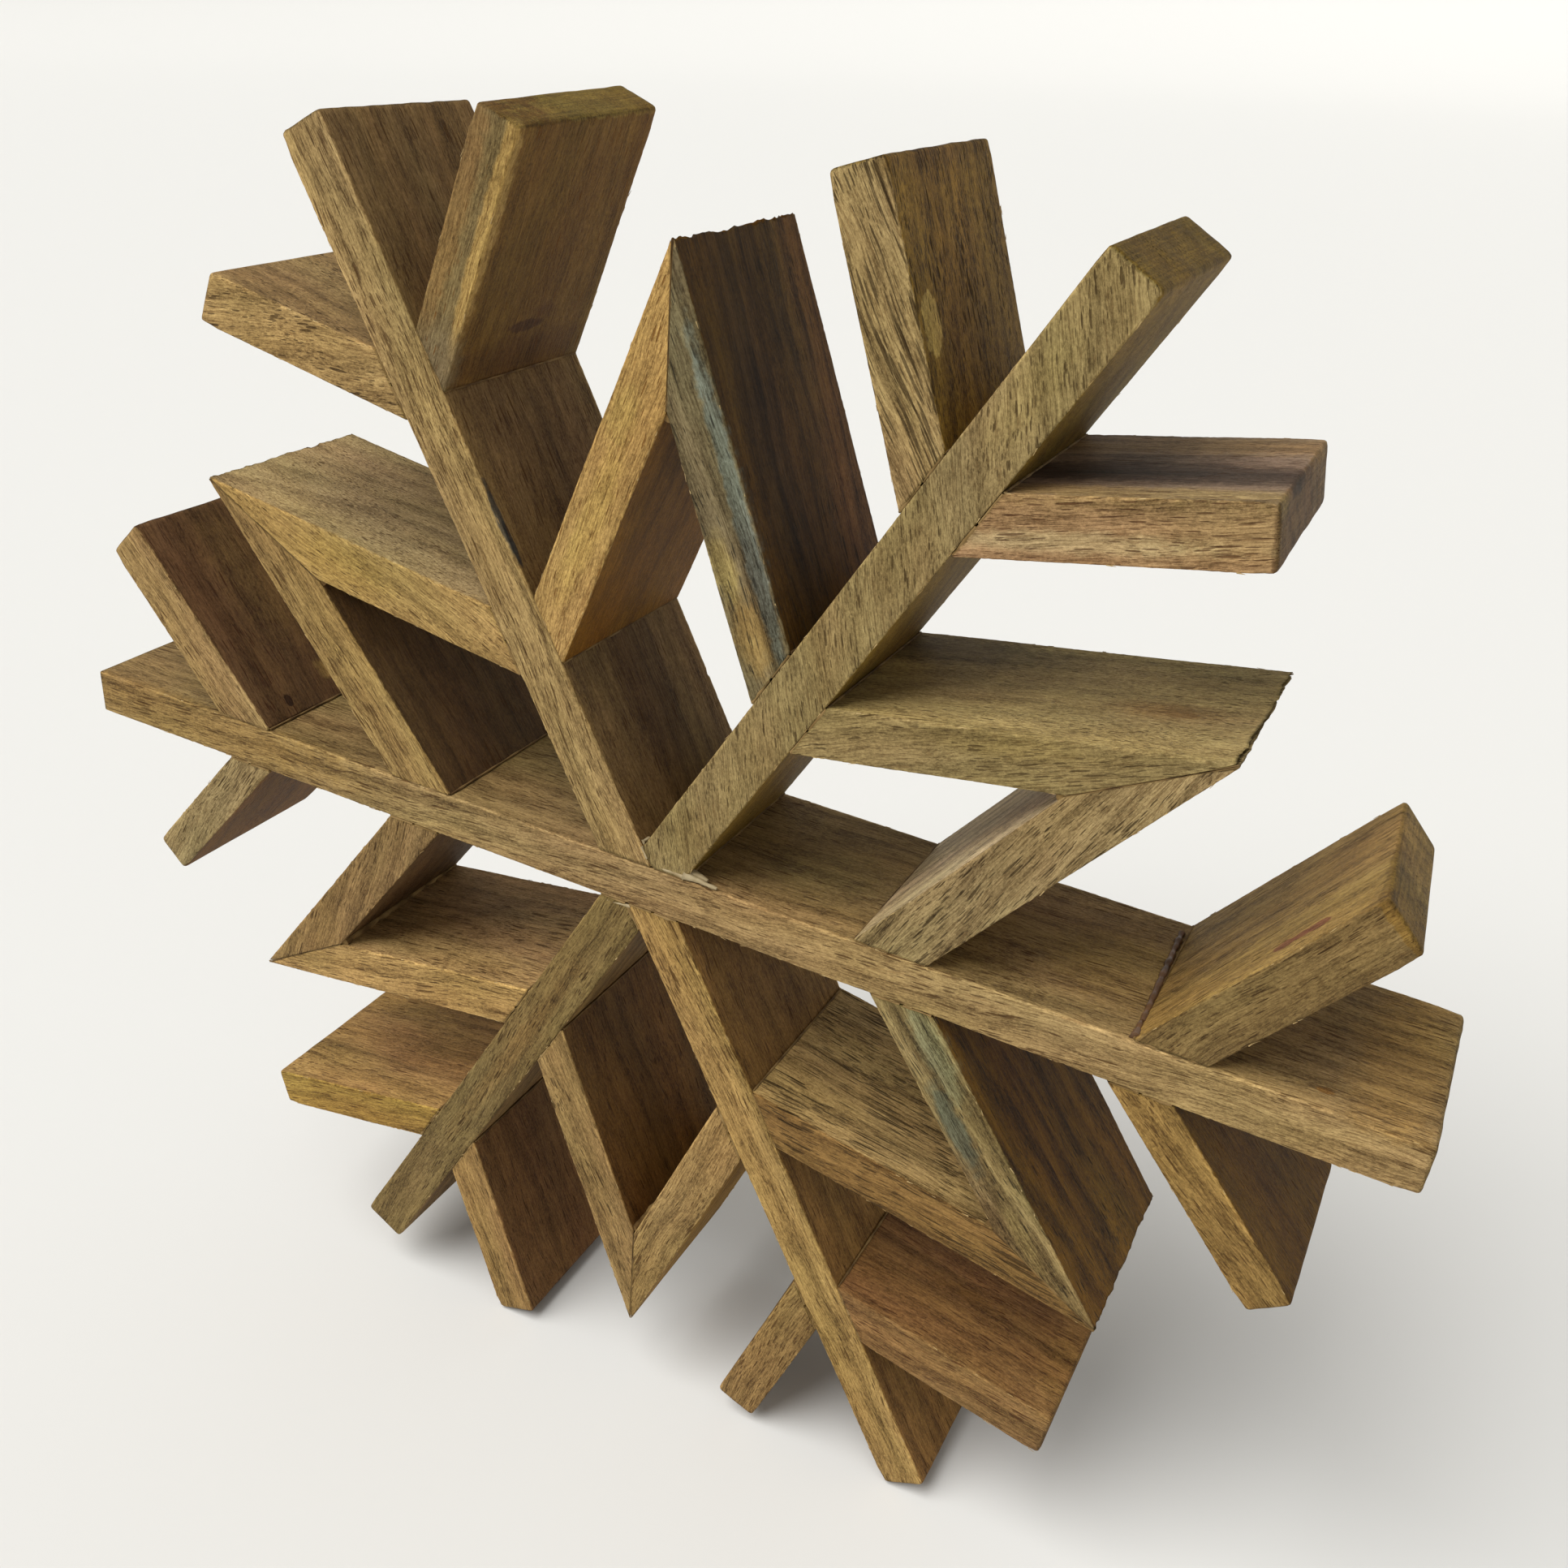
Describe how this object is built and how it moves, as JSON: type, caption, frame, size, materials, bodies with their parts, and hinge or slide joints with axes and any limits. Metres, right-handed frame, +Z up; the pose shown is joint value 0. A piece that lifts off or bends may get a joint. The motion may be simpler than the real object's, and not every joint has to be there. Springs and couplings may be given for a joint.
{
  "type": "wooden snowflake ornament",
  "caption": "Free-standing six-armed snowflake made of flat hardwood slats set on edge and glued, with mitred inner points and a pair of short branches near each arm's end.",
  "frame": {"origin": "on the surface the ornament stands on, below the middle of its box", "axes": "+Z up, +X to the right when facing the ornament, front towards -Y and back towards +Y"},
  "size_m": [0.2982, 0.0426, 0.278],
  "materials": {
    "tan_wood": "sanded",
    "honey_wood": "sanded",
    "olive_wood": "sanded, flecked with dark pores",
    "brown_wood": "sanded",
    "red_wood": "sanded",
    "zebra_wood": "sanded, dark pore dashes",
    "spalted_wood": "sanded, grey-green spalting"
  },
  "bodies": {
    "root": {"through_slat": "tan_wood", "upper_right_arm": "olive_wood", "upper_left_arm": "tan_wood", "lower_left_arm": "brown_wood", "lower_right_arm": "tan_wood", "inner_branch_right_ccw": "zebra_wood", "outer_branch_right_ccw": "brown_wood", "inner_branch_right_cw": "spalted_wood", "outer_branch_right_cw": "tan_wood", "inner_branch_upper_right_ccw": "spalted_wood", "outer_branch_upper_right_ccw": "zebra_wood", "inner_branch_upper_right_cw": "olive_wood", "outer_branch_upper_right_cw": "red_wood", "inner_branch_upper_left_ccw": "tan_wood", "outer_branch_upper_left_ccw": "brown_wood", "inner_branch_upper_left_cw": "honey_wood", "outer_branch_upper_left_cw": "honey_wood", "inner_branch_left_ccw": "brown_wood", "outer_branch_left_ccw": "olive_wood", "inner_branch_left_cw": "tan_wood", "outer_branch_left_cw": "red_wood", "inner_branch_lower_left_ccw": "brown_wood", "outer_branch_lower_left_ccw": "brown_wood", "inner_branch_lower_left_cw": "tan_wood", "outer_branch_lower_left_cw": "red_wood", "inner_branch_lower_right_ccw": "zebra_wood", "outer_branch_lower_right_ccw": "red_wood", "inner_branch_lower_right_cw": "tan_wood", "outer_branch_lower_right_cw": "tan_wood"}
  },
  "joints": []
}
